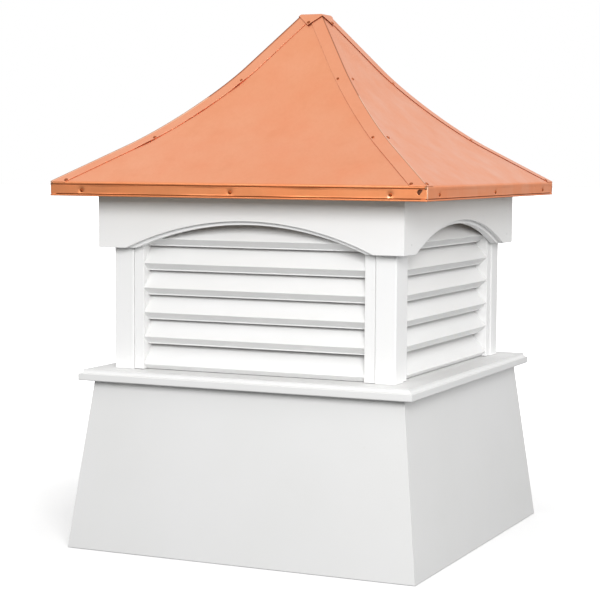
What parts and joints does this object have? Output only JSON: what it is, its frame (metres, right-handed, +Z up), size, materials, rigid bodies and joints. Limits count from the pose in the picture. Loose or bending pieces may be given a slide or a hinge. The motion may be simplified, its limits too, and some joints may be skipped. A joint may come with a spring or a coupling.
{
  "type": "barn cupola",
  "caption": "Square louvered roof cupola: a flared white skirt, a coved sill, louvers under arched friezes, and a concave copper roof with hip strips and a flat square cap.",
  "frame": {"origin": "bottom centre, on the axis of the square skirt, in the plane of its lower edge", "axes": "+Z up along the vertical axis, -Y out of the front face, +X out of the right face"},
  "size_m": [0.7, 0.7, 0.9539],
  "materials": {
    "white_board": "satin white vinyl board",
    "white_louver": "satin white vinyl sheet",
    "copper": "new bare copper sheet, softly mottled",
    "soffit_board": "plain exterior plywood",
    "rafter_wood": "sawn softwood"
  },
  "bodies": {
    "root": {"base_panel_front": "white_board", "base_panel_right": "white_board", "base_panel_back": "white_board", "base_panel_left": "white_board", "sill_board_front": "white_board", "sill_board_right": "white_board", "sill_board_back": "white_board", "sill_board_left": "white_board", "jamb_strips_front": "white_board", "jamb_strips_right": "white_board", "jamb_strips_back": "white_board", "jamb_strips_left": "white_board", "louver_blades_front": "white_louver", "louver_blades_right": "white_louver", "louver_blades_back": "white_louver", "louver_blades_left": "white_louver", "frieze_backing_front": "white_board", "frieze_backing_right": "white_board", "frieze_backing_back": "white_board", "frieze_backing_left": "white_board", "frieze_facing_front": "white_board", "frieze_facing_right": "white_board", "frieze_facing_back": "white_board", "frieze_facing_left": "white_board", "soffit_board_front": "soffit_board", "soffit_board_right": "soffit_board", "soffit_board_back": "soffit_board", "soffit_board_left": "soffit_board", "roof_sheet_front": "copper", "roof_sheet_right": "copper", "roof_sheet_back": "copper", "roof_sheet_left": "copper", "corner_post_front_right": "white_board", "corner_post_back_right": "white_board", "corner_post_back_left": "white_board", "corner_post_front_left": "white_board", "hip_rafter_front_right": "rafter_wood", "hip_rafter_back_right": "rafter_wood", "hip_rafter_back_left": "rafter_wood", "hip_rafter_front_left": "rafter_wood", "hip_strip_front_right": "copper", "hip_strip_back_right": "copper", "hip_strip_back_left": "copper", "hip_strip_front_left": "copper", "roof_cap": "copper"}
  },
  "joints": []
}
